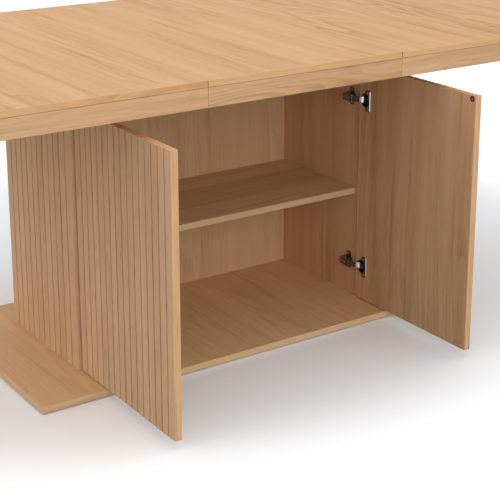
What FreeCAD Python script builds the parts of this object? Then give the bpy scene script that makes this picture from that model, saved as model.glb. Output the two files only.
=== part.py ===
"""Extending dining table on a two-door cabinet pedestal.

Millimetres. X runs along the table, Y from the door side (-Y) to the back, Z up.
The origin is on the floor under the middle of the base plate. The table is drawn as it
stands in use: leaf in place and both doors swung open square to the front.
"""
import FreeCAD, Part
import math
import os

from FreeCAD import Vector

os.makedirs("parts", exist_ok=True)

# Table top
TABLE_H = 760.0
TOP_DEPTH = 1000.0
LEAF_L = 526.0
HALF_L = 800.0
TOP_T = 15.0
APRON_H = 44.0
APRON_T = 16.0
SHADOW_LINE_H = 0.5
SHADOW_LINE_IN = 3.0
SEAM_GAP = 0.4
EDGE_BEVEL = 0.8

# Base plate and its glides
BASE_L = 1158.0
BASE_D = 600.0
BASE_T = 16.0
GLIDE_H = 2.0
GLIDE_R = 15.0
GLIDE_INSET = 40.0

# Cabinet carcass
CAB_W = 848.0
CAB_D = 358.0
SIDE_T = 16.0
CAB_TOP_T = 16.0
BACK_T = 18.0
BACK_INSET = 5.0
SHELF_T = 16.0
SHELF_UP = 286.0
SHELF_SETBACK = 9.0
SHELF_END_GAP = 0.6
SHELF_BACK_GAP = 1.0

# Slatted faces: flat slats parted by narrow grooves
SIDE_SLATS = 12
DOOR_SLATS = 16
BACK_SLATS = 28
GROOVE_W = 5.0
GROOVE_FLOOR = 2.2
GROOVE_DEPTH = 4.5

# Doors, with the gaps they keep when shut and when open
DOOR_T = 18.0
DOOR_FACE_GAP = 2.0
DOOR_MEETING_GAP = 3.0
DOOR_FLOOR_GAP = 4.0
DOOR_OPEN_GAP = 12.0
DOOR_OPEN_INSET = 6.0

# Concealed hinges
HINGE_FROM_END = 91.0
CUP_R = 17.5
CUP_WALL = 0.8
CUP_DEPTH = 11.3
CUP_FROM_EDGE = 20.5
CUP_FIT = 0.1
CUP_MOUTH_BEVEL = 0.7
FLANGE_T = 1.2
FLANGE_RIM = 1.2
FLANGE_W = 20.0
FLANGE_H = 58.0
FLANGE_CORNER = 5.0
FLANGE_BEVEL = 0.9
CUP_SCREW_PITCH = 45.0
CUP_SCREW_SHIFT = 9.5
PLATE_FROM_FRONT = 18.0
PLATE_L = 24.0
PLATE_BODY_W = 18.0
PLATE_BODY_H = 17.0
PLATE_WING_L = 14.0
PLATE_WING_H = 46.0
PLATE_WING_T = 2.5
PLATE_SCREW_PITCH = 32.0
ARM_T = 7.6
ARM_W = 18.0
ARM_CHEEK_T = 1.4
ARM_PIVOT_IN = 22.9
ARM_PIVOT_BACK = 6.1
ARM_NOSE_R = 2.6
ARM_SLOT_BACK = 10.4
ARM_BEVEL = 1.5
HINGE_PIN_R = 1.5
LINK_T = 1.6
LINK_EYE_R = 2.4
LINK_SIDE_GAP = 0.4
LINK_TIP_ALONG = 10.1
LINK_TIP_DEEP = 1.55
LINK_KNEE_ALONG = 8.0
LINK_KNEE_OUT = 2.3
CUP_PIN_R = 1.2
CUP_PIN_GAP = 0.3
CUP_PIN_DEEPER = 0.5
RUN_FIT = 0.05

# Push latches in the cabinet top, and the discs they press on
LATCH_FROM_MIDDLE = 13.5
LATCH_R = 5.0
LATCH_L = 56.0
LATCH_COLLAR_R = 6.5
LATCH_COLLAR_T = 0.4
PLUNGER_R = 3.0
PLUNGER_ROUND = 1.0
PLUNGER_L = 44.0
PLUNGER_STROKE = 3.0
STRIKE_R = 7.0
STRIKE_T = 1.0
STRIKE_TOUCH_GAP = 0.2

# Extension slides: fixed rails on bearers, and the runner bars of the two halves
BEARER_X = 300.0
BEARER_W = 60.0
BEARER_H = 30.0
BEARER_PAST_RAIL = 5.0
RAIL_L = 840.0
RAIL_H = 58.0
RAIL_Y = 130.0
RAIL_W = 40.0
RAIL_WEB = 12.0
RAIL_TOP_T = 10.0
RAIL_FOOT_T = 8.0
RUNNER_SIDE_GAP = 0.3
RUNNER_TOP_GAP = 0.4
RUNNER_REACH = 100.0
RUNNER_END_GAP = 44.0
RUNNER_HEAD_GAP = 20.0

# Blocks, pegs, pins and dowels
BLOCK = 30.0
PEG_R = 4.0
PEG_FIT = 0.3
PEG_X = 150.0
PEG_DROP = 8.0
PEG_IN_PANEL = 8.0
SHELF_PIN_R = 2.5
SHELF_PIN_IN = 9.0
SHELF_PIN_TONGUE = 9.0
SHELF_PIN_HALF_W = 5.0
SHELF_PIN_HALF_H = 4.0
SHELF_PIN_FROM_EDGE = 40.0
DOWEL_R = 4.0
DOWEL_IN_SIDE = 9.0
DOWEL_IN_TOP = 20.0
DOWEL_FROM_EDGE = 70.0

# Screws: shank radius, head radius, head height
WOOD_SCREW = (2.0, 4.0, 2.5)
BASE_SCREW = (2.5, 5.0, 3.0)
HINGE_SCREW = (1.6, 3.2, 0.8)
HINGE_SCREW_CROWN_R = 2.4
SCREW_FIT = 0.05
SCREW_BITE = 10.0
BASE_SCREW_BITE = 34.0
BASE_SCREW_FROM_END = 54.0
BACK_SCREW_STEP = 245.0
RECESS = 0.5
SAME = 1e-6

# Levels and planes worked out from the sizes above
BASE_TOP_Z = GLIDE_H + BASE_T
PANEL_Z = TABLE_H - TOP_T
BEARER_TOP_Z = PANEL_Z - RAIL_H
CAB_TOP_Z = BEARER_TOP_Z - BEARER_H
CAB_TOP_UNDER_Z = CAB_TOP_Z - CAB_TOP_T
DOOR_Z0 = BASE_TOP_Z + DOOR_FLOOR_GAP
DOOR_H = CAB_TOP_Z - DOOR_Z0
DOOR_W = (CAB_W - DOOR_MEETING_GAP) / 2
APRON_Z = PANEL_Z - APRON_H
SIDE_X = CAB_W / 2
INNER_X = SIDE_X - SIDE_T
FRONT_Y = -(CAB_D - DOOR_T - DOOR_FACE_GAP) / 2
REAR_Y = FRONT_Y + CAB_D
BACK_OUT_Y = REAR_Y - BACK_INSET
BACK_IN_Y = BACK_OUT_Y - BACK_T
DOOR_EDGE_Y = FRONT_Y - DOOR_OPEN_GAP
DOOR_OUT_X = -SIDE_X + DOOR_OPEN_INSET
DOOR_IN_X = DOOR_OUT_X + DOOR_T
SHELF_Z0 = BASE_TOP_Z + SHELF_UP
SEAM_X = LEAF_L / 2
END_X = SEAM_X + HALF_L
TOP_Y = TOP_DEPTH / 2
HINGE_Z = (DOOR_Z0 + HINGE_FROM_END, CAB_TOP_Z - HINGE_FROM_END)
LATCH_Z = CAB_TOP_Z - CAB_TOP_T / 2
GROOVE_Z0 = BEARER_TOP_Z + RAIL_FOOT_T
GROOVE_Z1 = PANEL_Z - RAIL_TOP_T

UP = Vector(0, 0, 1)
DOWN = Vector(0, 0, -1)
INTO_X = Vector(1, 0, 0)
OUT_X = Vector(-1, 0, 0)
BACKWARD = Vector(0, 1, 0)


def box(x0, x1, y0, y1, z0, z1):
    """A block between two corners."""
    return Part.makeBox(x1 - x0, y1 - y0, z1 - z0, Vector(x0, y0, z0))


def board(x0, x1, y0, y1, z0, z1):
    """A block with all its edges eased, as a banded board has."""
    plain = box(x0, x1, y0, y1, z0, z1)
    return plain.makeChamfer(EDGE_BEVEL, plain.Edges)


def rod(start, along, radius, length):
    """A round bar from start."""
    return Part.makeCylinder(radius, length, start, along)


def prism(points, z0, z1):
    """An upright prism on a plan outline."""
    corners = [Vector(x, y, z0) for x, y in points]
    outline = Part.makePolygon(corners + corners[:1])
    return Part.Face(outline).extrude(Vector(0, 0, z1 - z0))


def mirrored(shapes):
    """The same pieces on the other end of the table."""
    return [shape.mirror(Vector(0, 0, 0), INTO_X) for shape in shapes]


def save(name, shapes):
    """Writes one node, alone or as a group of separate solids."""
    solids = [solid for shape in shapes for solid in shape.Solids]
    for solid in solids:
        if not solid.isValid() or solid.Volume <= 0:
            raise ValueError(name + " has a broken solid")
    whole = solids[0] if len(solids) == 1 else Part.makeCompound(solids)
    whole.exportStep("parts/" + name + ".step")


def slatted(width, slats):
    """Plan outline of a slatted panel's face, as (along, deep) points from one edge to the other."""
    pitch = width / slats
    points = [(0.0, EDGE_BEVEL), (EDGE_BEVEL, 0.0)]
    for i in range(1, slats):
        middle = i * pitch
        points.append((middle - GROOVE_W / 2, 0.0))
        points.append((middle - GROOVE_FLOOR / 2, GROOVE_DEPTH))
        points.append((middle + GROOVE_FLOOR / 2, GROOVE_DEPTH))
        points.append((middle + GROOVE_W / 2, 0.0))
    points.append((width - EDGE_BEVEL, 0.0))
    points.append((width, EDGE_BEVEL))
    return points


def screw(spec, seat, along, length):
    """A screw whose head sits at seat and whose shank runs along for the given length below the head."""
    shank_r, head_r, head_h = spec
    head = rod(seat, along, head_r, head_h)
    shank = rod(seat, along, shank_r, head_h + length)
    return head.fuse(shank).removeSplitter()


def screw_hole(spec, seat, along, length, open_above):
    """The room a screw needs: a recess over its head, and a hole just over its shank's size."""
    shank_r, head_r, head_h = spec
    start = seat - along * open_above
    recess = rod(start, along, head_r + SCREW_FIT, head_h + open_above)
    shank = rod(seat, along, shank_r + SCREW_FIT, head_h + length + RECESS)
    return recess.fuse(shank)


def cut_all(shape, tools):
    """The shape with each tool cut out of it."""
    return shape.cut(tools) if tools else shape


# Base plate, its glides, and the screws that hold the cabinet to it

def glide_places():
    x = BASE_L / 2 - GLIDE_INSET
    y = BASE_D / 2 - GLIDE_INSET
    return [(-x, -y), (x, -y), (-x, y), (x, y), (0.0, -y), (0.0, y), (0.0, 0.0)]


SIDE_SCREW_X = INNER_X + (SIDE_T - GROOVE_DEPTH) / 2
BACK_SCREW_Y = BACK_IN_Y + (BACK_T - GROOVE_DEPTH) / 2
SIDE_SCREW_YS = (FRONT_Y + BASE_SCREW_FROM_END, (FRONT_Y + REAR_Y) / 2, REAR_Y - BASE_SCREW_FROM_END)
BACK_SCREW_XS = (-BACK_SCREW_STEP, 0.0, BACK_SCREW_STEP)
BASE_SCREW_SEATS = [
    Vector(end * SIDE_SCREW_X, y, GLIDE_H + RECESS) for end in (-1, 1) for y in SIDE_SCREW_YS
] + [Vector(x, BACK_SCREW_Y, GLIDE_H + RECESS) for x in BACK_SCREW_XS]
BASE_SCREW_L = BASE_T - RECESS - BASE_SCREW[2] + BASE_SCREW_BITE
base_holes = [screw_hole(BASE_SCREW, seat, UP, BASE_SCREW_L, RECESS) for seat in BASE_SCREW_SEATS]

base_plate = board(-BASE_L / 2, BASE_L / 2, -BASE_D / 2, BASE_D / 2, GLIDE_H, BASE_TOP_Z)
save("base_plate", [cut_all(base_plate, base_holes)])
save("floor_glides", [rod(Vector(x, y, 0), UP, GLIDE_R, GLIDE_H) for x, y in glide_places()])
save("base_screws", [screw(BASE_SCREW, seat, UP, BASE_SCREW_L) for seat in BASE_SCREW_SEATS])

# Hinge pieces, drawn for the left end and mirrored for the right

PLATE_Y0 = FRONT_Y + PLATE_FROM_FRONT
PLATE_Y1 = PLATE_Y0 + PLATE_L
PLATE_MID_Y = (PLATE_Y0 + PLATE_Y1) / 2
ARM_X0 = -INNER_X + PLATE_BODY_H
PIVOT = (-INNER_X + ARM_PIVOT_IN, FRONT_Y + ARM_PIVOT_BACK)
LINK_TIP = (DOOR_IN_X - LINK_TIP_DEEP, DOOR_EDGE_Y - LINK_TIP_ALONG)
LINK_KNEE = (DOOR_IN_X + LINK_KNEE_OUT, DOOR_EDGE_Y - LINK_KNEE_ALONG)
LINK_W = ARM_W - 2 * ARM_CHEEK_T - 2 * LINK_SIDE_GAP
CUP_Y = DOOR_EDGE_Y - CUP_FROM_EDGE


def plate_screw_seats(z):
    x = -INNER_X + PLATE_WING_T
    return [Vector(x, PLATE_MID_Y, z + step * PLATE_SCREW_PITCH / 2) for step in (-1, 1)]


def cup_screw_seats(z):
    x = DOOR_IN_X + FLANGE_T
    y = CUP_Y - CUP_SCREW_SHIFT
    return [Vector(x, y, z + step * CUP_SCREW_PITCH / 2) for step in (-1, 1)]


def hinge_screw(seat):
    """A small screw with its head standing on the seat, pointing out through the board."""
    shank_r, head_r, head_h = HINGE_SCREW
    head = Part.makeCone(head_r, HINGE_SCREW_CROWN_R, head_h, seat, INTO_X)
    return head.fuse(rod(seat, OUT_X, shank_r, SCREW_BITE))


def hinge_screw_hole(seat):
    return rod(seat, OUT_X, HINGE_SCREW[0] + SCREW_FIT, SCREW_BITE + RECESS)


def hinge_plate(z):
    """Mounting plate: a ridge that carries the arm, with two wings for the screws."""
    ridge = box(-INNER_X, ARM_X0, PLATE_Y0, PLATE_Y1, z - PLATE_BODY_W / 2, z + PLATE_BODY_W / 2)
    wing_y = (PLATE_MID_Y - PLATE_WING_L / 2, PLATE_MID_Y + PLATE_WING_L / 2)
    wing_x = -INNER_X + PLATE_WING_T
    wings = box(-INNER_X, wing_x, *wing_y, z - PLATE_WING_H / 2, z + PLATE_WING_H / 2)
    plate = ridge.fuse(wings).removeSplitter()
    return plate.cut([hinge_screw_hole(seat) for seat in plate_screw_seats(z)])


def hinge_arm(z):
    """Arm on the plate: a bar that ends in a fork, with the link's pin across the fork."""
    x1 = ARM_X0 + ARM_T
    low, high = z - ARM_W / 2, z + ARM_W / 2
    bar = box(ARM_X0, x1, PIVOT[1], PLATE_Y1, low, high)
    nose = rod(Vector(PIVOT[0], PIVOT[1], low), UP, ARM_NOSE_R, ARM_W)
    slot = box(ARM_X0 - ARM_T, x1 + ARM_T, PIVOT[1] - ARM_NOSE_R - RECESS, FRONT_Y + ARM_SLOT_BACK,
               low + ARM_CHEEK_T, high - ARM_CHEEK_T)
    pin = rod(Vector(PIVOT[0], PIVOT[1], low), UP, HINGE_PIN_R, ARM_W)
    back_edges = [e for e in bar.Edges if abs(e.CenterOfMass.y - PLATE_Y1) < SAME]
    eased = bar.makeChamfer(ARM_BEVEL, back_edges)
    return eased.fuse(nose).cut(slot).fuse(pin).removeSplitter()


def strip(start, end, thick, z0, z1):
    """An upright strip of sheet between two plan points."""
    dx, dy = end[0] - start[0], end[1] - start[1]
    length = math.hypot(dx, dy)
    nx, ny = -dy / length * thick / 2, dx / length * thick / 2
    plan = [(start[0] + nx, start[1] + ny), (start[0] - nx, start[1] - ny),
            (end[0] - nx, end[1] - ny), (end[0] + nx, end[1] + ny)]
    return prism(plan, z0, z1)


def hinge_link(z):
    """Cranked link from the arm's pin into the cup, with a rolled eye round the pin."""
    z0, z1 = z - LINK_W / 2, z + LINK_W / 2
    eye = rod(Vector(*PIVOT, z0), UP, LINK_EYE_R, LINK_W)
    bends = [rod(Vector(*spot, z0), UP, LINK_T / 2, LINK_W) for spot in (LINK_KNEE, LINK_TIP)]
    arms = [strip(PIVOT, LINK_KNEE, LINK_T, z0, z1), strip(LINK_KNEE, LINK_TIP, LINK_T, z0, z1)]
    bore = rod(Vector(*PIVOT, z0), UP, HINGE_PIN_R + RUN_FIT, LINK_W)
    return eye.fuse(bends + arms).cut(bore).removeSplitter()


def bevelled_face(plate):
    """The flange plate with the edges of its outer face bevelled."""
    face_x = DOOR_IN_X + FLANGE_T
    edges = [e for e in plate.Edges if all(abs(v.X - face_x) < SAME for v in e.Vertexes)]
    return plate.makeChamfer(FLANGE_BEVEL, edges)


def hinge_cup(z):
    """Pressed cup in the door's back, with a rim, two wings and a cross pin that the link bears on."""
    mouth = Vector(DOOR_IN_X, CUP_Y, z)
    body = rod(mouth, OUT_X, CUP_R, CUP_DEPTH)
    rim = rod(mouth, INTO_X, CUP_R + FLANGE_RIM, FLANGE_T)
    wing_y = CUP_Y - CUP_SCREW_SHIFT
    wings = box(DOOR_IN_X, DOOR_IN_X + FLANGE_T, wing_y - FLANGE_W / 2, wing_y + FLANGE_W / 2,
                z - FLANGE_H / 2, z + FLANGE_H / 2)
    corners = [e for e in wings.Edges if abs(e.tangentAt(e.FirstParameter).x) > 0.9]
    wings = bevelled_face(wings.makeFillet(FLANGE_CORNER, corners))
    rim = bevelled_face(rim)
    hollow = rod(mouth + INTO_X * FLANGE_T, OUT_X, CUP_R - CUP_WALL, FLANGE_T + CUP_DEPTH - CUP_WALL)
    bevel_start = mouth + INTO_X * (FLANGE_T - CUP_MOUTH_BEVEL)
    bore_r = CUP_R - CUP_WALL
    bevel = Part.makeCone(bore_r, bore_r + CUP_MOUTH_BEVEL, CUP_MOUTH_BEVEL, bevel_start, INTO_X)
    shell = body.fuse([rim, wings]).cut([hollow, bevel])
    pin_y = DOOR_EDGE_Y - LINK_TIP_ALONG + LINK_T / 2 + CUP_PIN_GAP + CUP_PIN_R
    pin = rod(Vector(DOOR_IN_X - LINK_TIP_DEEP - CUP_PIN_DEEPER, pin_y, z - CUP_R), UP, CUP_PIN_R, 2 * CUP_R)
    cup = shell.fuse(pin.common(body)).removeSplitter()
    return cup.cut([hinge_screw_hole(seat) for seat in cup_screw_seats(z)])


def both_ends(name, shapes):
    """Saves the left pieces and their mirror images on the right."""
    save(name + "_left", shapes)
    save(name + "_right", mirrored(shapes))


both_ends("hinge_plates", [hinge_plate(z) for z in HINGE_Z])
both_ends("hinge_plate_screws", [hinge_screw(seat) for z in HINGE_Z for seat in plate_screw_seats(z)])
both_ends("hinge_arms", [hinge_arm(z) for z in HINGE_Z])
both_ends("hinge_link_lower", [hinge_link(HINGE_Z[0])])
both_ends("hinge_link_upper", [hinge_link(HINGE_Z[1])])
both_ends("hinge_cups", [hinge_cup(z) for z in HINGE_Z])
both_ends("cup_screws", [hinge_screw(seat) for z in HINGE_Z for seat in cup_screw_seats(z)])

# Cabinet boards

SHELF_PIN_YS = (FRONT_Y + SHELF_SETBACK + SHELF_PIN_FROM_EDGE, BACK_IN_Y - SHELF_PIN_FROM_EDGE)
SHELF_PIN_Z = SHELF_Z0 - SHELF_PIN_HALF_H
DOWEL_YS = (FRONT_Y + DOWEL_FROM_EDGE, BACK_IN_Y - DOWEL_FROM_EDGE)


def shelf_pin(y):
    """Pin in the left side with a flat tongue under the shelf's end."""
    pin = rod(Vector(-INNER_X, y, SHELF_PIN_Z), OUT_X, SHELF_PIN_R, SHELF_PIN_IN)
    tongue = box(-INNER_X, -INNER_X + SHELF_PIN_TONGUE, y - SHELF_PIN_HALF_W, y + SHELF_PIN_HALF_W,
                 SHELF_PIN_Z - SHELF_PIN_HALF_H, SHELF_PIN_Z + SHELF_PIN_HALF_H)
    return tongue.fuse(pin).removeSplitter()


def dowel(y, extra=0.0):
    """Dowel across the joint of the left side and the cabinet top, or with extra the hole for it."""
    start = Vector(-INNER_X - DOWEL_IN_SIDE - extra, y, LATCH_Z)
    return rod(start, INTO_X, DOWEL_R + extra, DOWEL_IN_SIDE + DOWEL_IN_TOP + 2 * extra)


def side_panel():
    """Left side, slatted outside, with holes for its screws, pins and dowels."""
    face = [(-SIDE_X + deep, FRONT_Y + along) for along, deep in slatted(CAB_D, SIDE_SLATS)]
    panel = prism(face + [(-INNER_X, REAR_Y), (-INNER_X, FRONT_Y)], BASE_TOP_Z, CAB_TOP_Z)
    holes = [hinge_screw_hole(seat) for z in HINGE_Z for seat in plate_screw_seats(z)]
    holes += [dowel(y, SCREW_FIT) for y in DOWEL_YS]
    holes += [rod(Vector(-INNER_X, y, SHELF_PIN_Z), OUT_X, SHELF_PIN_R + SCREW_FIT, SHELF_PIN_IN + RECESS)
              for y in SHELF_PIN_YS]
    return panel.cut(holes + base_holes)


both_ends("side_panel", [side_panel()])
shelf_pins = [shelf_pin(y) for y in SHELF_PIN_YS]
save("shelf_pins", shelf_pins + mirrored(shelf_pins))
dowels = [dowel(y) for y in DOWEL_YS]
save("top_dowels", dowels + mirrored(dowels))

back_face = [(-INNER_X + along, BACK_OUT_Y - deep) for along, deep in slatted(2 * INNER_X, BACK_SLATS)]
back_panel = prism(back_face + [(INNER_X, BACK_IN_Y), (-INNER_X, BACK_IN_Y)], BASE_TOP_Z, CAB_TOP_Z)
save("back_panel", [back_panel.cut(base_holes)])

SHELF_HALF_L = INNER_X - SHELF_END_GAP
save("shelf", [board(-SHELF_HALF_L, SHELF_HALF_L, FRONT_Y + SHELF_SETBACK, BACK_IN_Y - SHELF_BACK_GAP,
                     SHELF_Z0, SHELF_Z0 + SHELF_T)])

# Push latches: a bored tube with a sprung plunger behind each door's meeting edge

PLUNGER_TIP_Y = FRONT_Y - DOOR_FACE_GAP + STRIKE_T + STRIKE_TOUCH_GAP
PLUNGER_BORE_L = PLUNGER_L + PLUNGER_STROKE + RECESS


def latch_mouth(end):
    return Vector(end * LATCH_FROM_MIDDLE, FRONT_Y, LATCH_Z)


def latch_housing(end):
    """Tube with a thin collar, closed at the back."""
    mouth = latch_mouth(end)
    tube = rod(mouth, BACKWARD, LATCH_R, LATCH_L)
    collar = rod(mouth - BACKWARD * LATCH_COLLAR_T, BACKWARD, LATCH_COLLAR_R, LATCH_COLLAR_T)
    bore_start = mouth - BACKWARD * LATCH_COLLAR_T
    bore = rod(bore_start, BACKWARD, PLUNGER_R + RUN_FIT, LATCH_COLLAR_T + PLUNGER_BORE_L)
    return tube.fuse(collar).cut(bore).removeSplitter()


def latch_plunger(end):
    """Plunger with a domed tip that just meets the shut door's disc."""
    mouth = latch_mouth(end)
    plunger = rod(Vector(mouth.x, PLUNGER_TIP_Y, mouth.z), BACKWARD, PLUNGER_R, PLUNGER_L)
    tip = [e for e in plunger.Edges if e.Closed and abs(e.CenterOfMass.y - PLUNGER_TIP_Y) < SAME]
    return plunger.makeFillet(PLUNGER_ROUND, tip)


save("latch_housings", [latch_housing(end) for end in (-1, 1)])
save("latch_plunger_left", [latch_plunger(-1)])
save("latch_plunger_right", [latch_plunger(1)])

# Bearers and rails of the extension, and the cabinet top that carries them

BEARER_Y = RAIL_Y + RAIL_W / 2 + BEARER_PAST_RAIL
BEARER_SCREW_SEATS = [Vector(end * BEARER_X, y, BEARER_TOP_Z - RECESS)
                      for end in (-1, 1) for y in (-RAIL_Y / 2, RAIL_Y / 2)]
BEARER_SCREW_L = BEARER_H - RECESS - WOOD_SCREW[2] + SCREW_BITE
bearer_holes = [screw_hole(WOOD_SCREW, seat, DOWN, BEARER_SCREW_L, RECESS) for seat in BEARER_SCREW_SEATS]
RAIL_SCREW_OFF = (RAIL_WEB + RAIL_W) / 4
RAIL_SCREW_SEATS = [Vector(end * BEARER_X, row * RAIL_Y + step * RAIL_SCREW_OFF, GROOVE_Z0 - RECESS)
                    for end in (-1, 1) for row in (-1, 1) for step in (-1, 1)]
RAIL_SCREW_L = RAIL_FOOT_T - RECESS - WOOD_SCREW[2] + SCREW_BITE
rail_holes = [screw_hole(WOOD_SCREW, seat, DOWN, RAIL_SCREW_L, RECESS) for seat in RAIL_SCREW_SEATS]
peg_places = [(x, y) for x in (-PEG_X, PEG_X) for y in (-RAIL_Y, RAIL_Y)]


def bearer(end):
    x = end * BEARER_X
    block = box(x - BEARER_W / 2, x + BEARER_W / 2, -BEARER_Y, BEARER_Y, CAB_TOP_Z, BEARER_TOP_Z)
    return block.cut(bearer_holes + rail_holes)


def rail(row):
    """Double-grooved rail: a web between a foot and a cap, with sockets for the leaf's pegs."""
    y = row * RAIL_Y
    half = RAIL_L / 2
    web = box(-half, half, y - RAIL_WEB / 2, y + RAIL_WEB / 2, BEARER_TOP_Z, PANEL_Z)
    foot = box(-half, half, y - RAIL_W / 2, y + RAIL_W / 2, BEARER_TOP_Z, GROOVE_Z0)
    cap = box(-half, half, y - RAIL_W / 2, y + RAIL_W / 2, GROOVE_Z1, PANEL_Z)
    sockets = [rod(Vector(px, py, PANEL_Z), DOWN, PEG_R + PEG_FIT, PEG_DROP + RECESS)
               for px, py in peg_places if py == y]
    return web.fuse([foot, cap]).removeSplitter().cut(sockets + rail_holes)


cabinet_top = box(-INNER_X, INNER_X, FRONT_Y, BACK_IN_Y, CAB_TOP_UNDER_Z, CAB_TOP_Z)
latch_bores = [rod(latch_mouth(end), BACKWARD, LATCH_R + SCREW_FIT, LATCH_L + RECESS) for end in (-1, 1)]
dowel_holes = [dowel(y, SCREW_FIT) for y in DOWEL_YS]
save("cabinet_top", [cabinet_top.cut(latch_bores + bearer_holes + dowel_holes + mirrored(dowel_holes))])
save("bearer_left", [bearer(-1)])
save("bearer_right", [bearer(1)])
save("rail_front", [rail(-1)])
save("rail_back", [rail(1)])
save("bearer_screws", [screw(WOOD_SCREW, seat, DOWN, BEARER_SCREW_L) for seat in BEARER_SCREW_SEATS])
save("rail_screws", [screw(WOOD_SCREW, seat, DOWN, RAIL_SCREW_L) for seat in RAIL_SCREW_SEATS])

# Doors, standing open

STRIKE_FROM_EDGE = LATCH_FROM_MIDDLE - DOOR_MEETING_GAP / 2
STRIKE_CENTRE = Vector(DOOR_IN_X, DOOR_EDGE_Y - DOOR_W + STRIKE_FROM_EDGE, LATCH_Z)


def door_panel():
    """Left door, slatted outside, bored for its two hinge cups."""
    face = [(DOOR_OUT_X + deep, DOOR_EDGE_Y - along) for along, deep in slatted(DOOR_W, DOOR_SLATS)]
    inner = [(DOOR_IN_X - EDGE_BEVEL, DOOR_EDGE_Y - DOOR_W), (DOOR_IN_X, DOOR_EDGE_Y - DOOR_W + EDGE_BEVEL),
             (DOOR_IN_X, DOOR_EDGE_Y - EDGE_BEVEL), (DOOR_IN_X - EDGE_BEVEL, DOOR_EDGE_Y)]
    panel = prism(face + inner, DOOR_Z0, CAB_TOP_Z)
    bores = [rod(Vector(DOOR_IN_X, CUP_Y, z), OUT_X, CUP_R + CUP_FIT, CUP_DEPTH + CUP_FIT) for z in HINGE_Z]
    screws = [hinge_screw_hole(seat) for z in HINGE_Z for seat in cup_screw_seats(z)]
    return panel.cut(bores + screws)


both_ends("door_panel", [door_panel()])
both_ends("strike_disc", [rod(STRIKE_CENTRE, INTO_X, STRIKE_R, STRIKE_T)])

# The two sliding halves of the top, and the leaf between them

RUNNER_HEAD_X = RAIL_L / 2 + SEAM_X + RUNNER_HEAD_GAP
RUNNER_END_X = END_X - APRON_T - RUNNER_END_GAP
RUNNER_HEAD_MID = (RUNNER_HEAD_X + RUNNER_END_X) / 2
RUNNER_SCREW_XS = [RUNNER_HEAD_MID + step * (RUNNER_END_X - RUNNER_HEAD_X) / 3 for step in (-1, 0, 1)]
RUNNER_SCREW_L = PANEL_Z - GROOVE_Z0 - RECESS - WOOD_SCREW[2] + SCREW_BITE


def runner_span(end, row):
    """The bar's low and high Y: inside the pair of rails on the left, outside it on the right."""
    near = RAIL_Y + end * (RAIL_WEB / 2 + RUNNER_SIDE_GAP)
    far = RAIL_Y + end * (RAIL_W / 2 - RUNNER_SIDE_GAP)
    return sorted((row * near, row * far))


def runner_screw_seats(end):
    seats = []
    for row in (-1, 1):
        middle = sum(runner_span(end, row)) / 2
        seats += [Vector(end * x, middle, GROOVE_Z0 + RECESS) for x in RUNNER_SCREW_XS]
    return seats


def runner_holes(end):
    return [screw_hole(WOOD_SCREW, seat, UP, RUNNER_SCREW_L, RECESS) for seat in runner_screw_seats(end)]


def runner(end, row):
    """Bar that slides in a rail's groove, with a raised head screwed to the half's panel."""
    y0, y1 = runner_span(end, row)
    inner, outer = sorted((-end * RUNNER_REACH, end * RUNNER_END_X))
    head0, head1 = sorted((end * RUNNER_HEAD_X, end * RUNNER_END_X))
    bar = box(inner, outer, y0, y1, GROOVE_Z0, GROOVE_Z1 - RUNNER_TOP_GAP)
    head = box(head0, head1, y0, y1, GROOVE_Z0, PANEL_Z)
    return bar.fuse(head).removeSplitter().cut(runner_holes(end))


def block(x, y):
    """Glue block in the corner of an apron and the panel, centred on x and y."""
    cube = box(x - BLOCK / 2, x + BLOCK / 2, y - BLOCK / 2, y + BLOCK / 2, PANEL_Z - BLOCK, PANEL_Z)
    return cube.makeChamfer(EDGE_BEVEL, cube.Edges)


SHADOW_LINES = [
    box(-END_X, END_X, -TOP_Y, -TOP_Y + SHADOW_LINE_IN, PANEL_Z - SHADOW_LINE_H, PANEL_Z),
    box(-END_X, END_X, TOP_Y - SHADOW_LINE_IN, TOP_Y, PANEL_Z - SHADOW_LINE_H, PANEL_Z),
    box(-END_X, -END_X + SHADOW_LINE_IN, -TOP_Y, TOP_Y, PANEL_Z - SHADOW_LINE_H, PANEL_Z),
    box(END_X - SHADOW_LINE_IN, END_X, -TOP_Y, TOP_Y, PANEL_Z - SHADOW_LINE_H, PANEL_Z),
]


def apron(x0, x1, y0, y1):
    """An apron board, with a low rebate along its outer top edge that leaves a shadow line."""
    return board(x0, x1, y0, y1, APRON_Z, PANEL_Z).cut(SHADOW_LINES)


def top_half(end, name):
    """One half of the top: panel, three aprons, glue blocks, two runners and their screws."""
    x0, x1 = sorted((end * SEAM_X, end * END_X))
    panel = board(x0, x1, -TOP_Y, TOP_Y, PANEL_Z, TABLE_H)
    save("top_panel_" + name, [panel.cut(runner_holes(end))])
    for row, side in ((-1, "front"), (1, "back")):
        y0, y1 = sorted((row * TOP_Y, row * (TOP_Y - APRON_T)))
        save("apron_" + side + "_" + name, [apron(x0, x1, y0, y1)])
        save("runner_" + side + "_" + name, [runner(end, row)])
    e0, e1 = sorted((end * END_X, end * (END_X - APRON_T)))
    save("apron_end_" + name, [apron(e0, e1, -TOP_Y + APRON_T, TOP_Y - APRON_T)])
    block_y = TOP_Y - APRON_T - BLOCK / 2
    end_x = END_X - APRON_T - BLOCK / 2
    along = (SEAM_X + BLOCK, (SEAM_X + end_x) / 2, end_x)
    spots = [(end * x, row * block_y) for x in along for row in (-1, 1)]
    spots += [(end * end_x, row * TOP_Y / 2) for row in (-1, 1)]
    save("glue_blocks_" + name, [block(x, y) for x, y in spots])
    seats = runner_screw_seats(end)
    save("runner_screws_" + name, [screw(WOOD_SCREW, seat, UP, RUNNER_SCREW_L) for seat in seats])


top_half(-1, "left")
top_half(1, "right")

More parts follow.
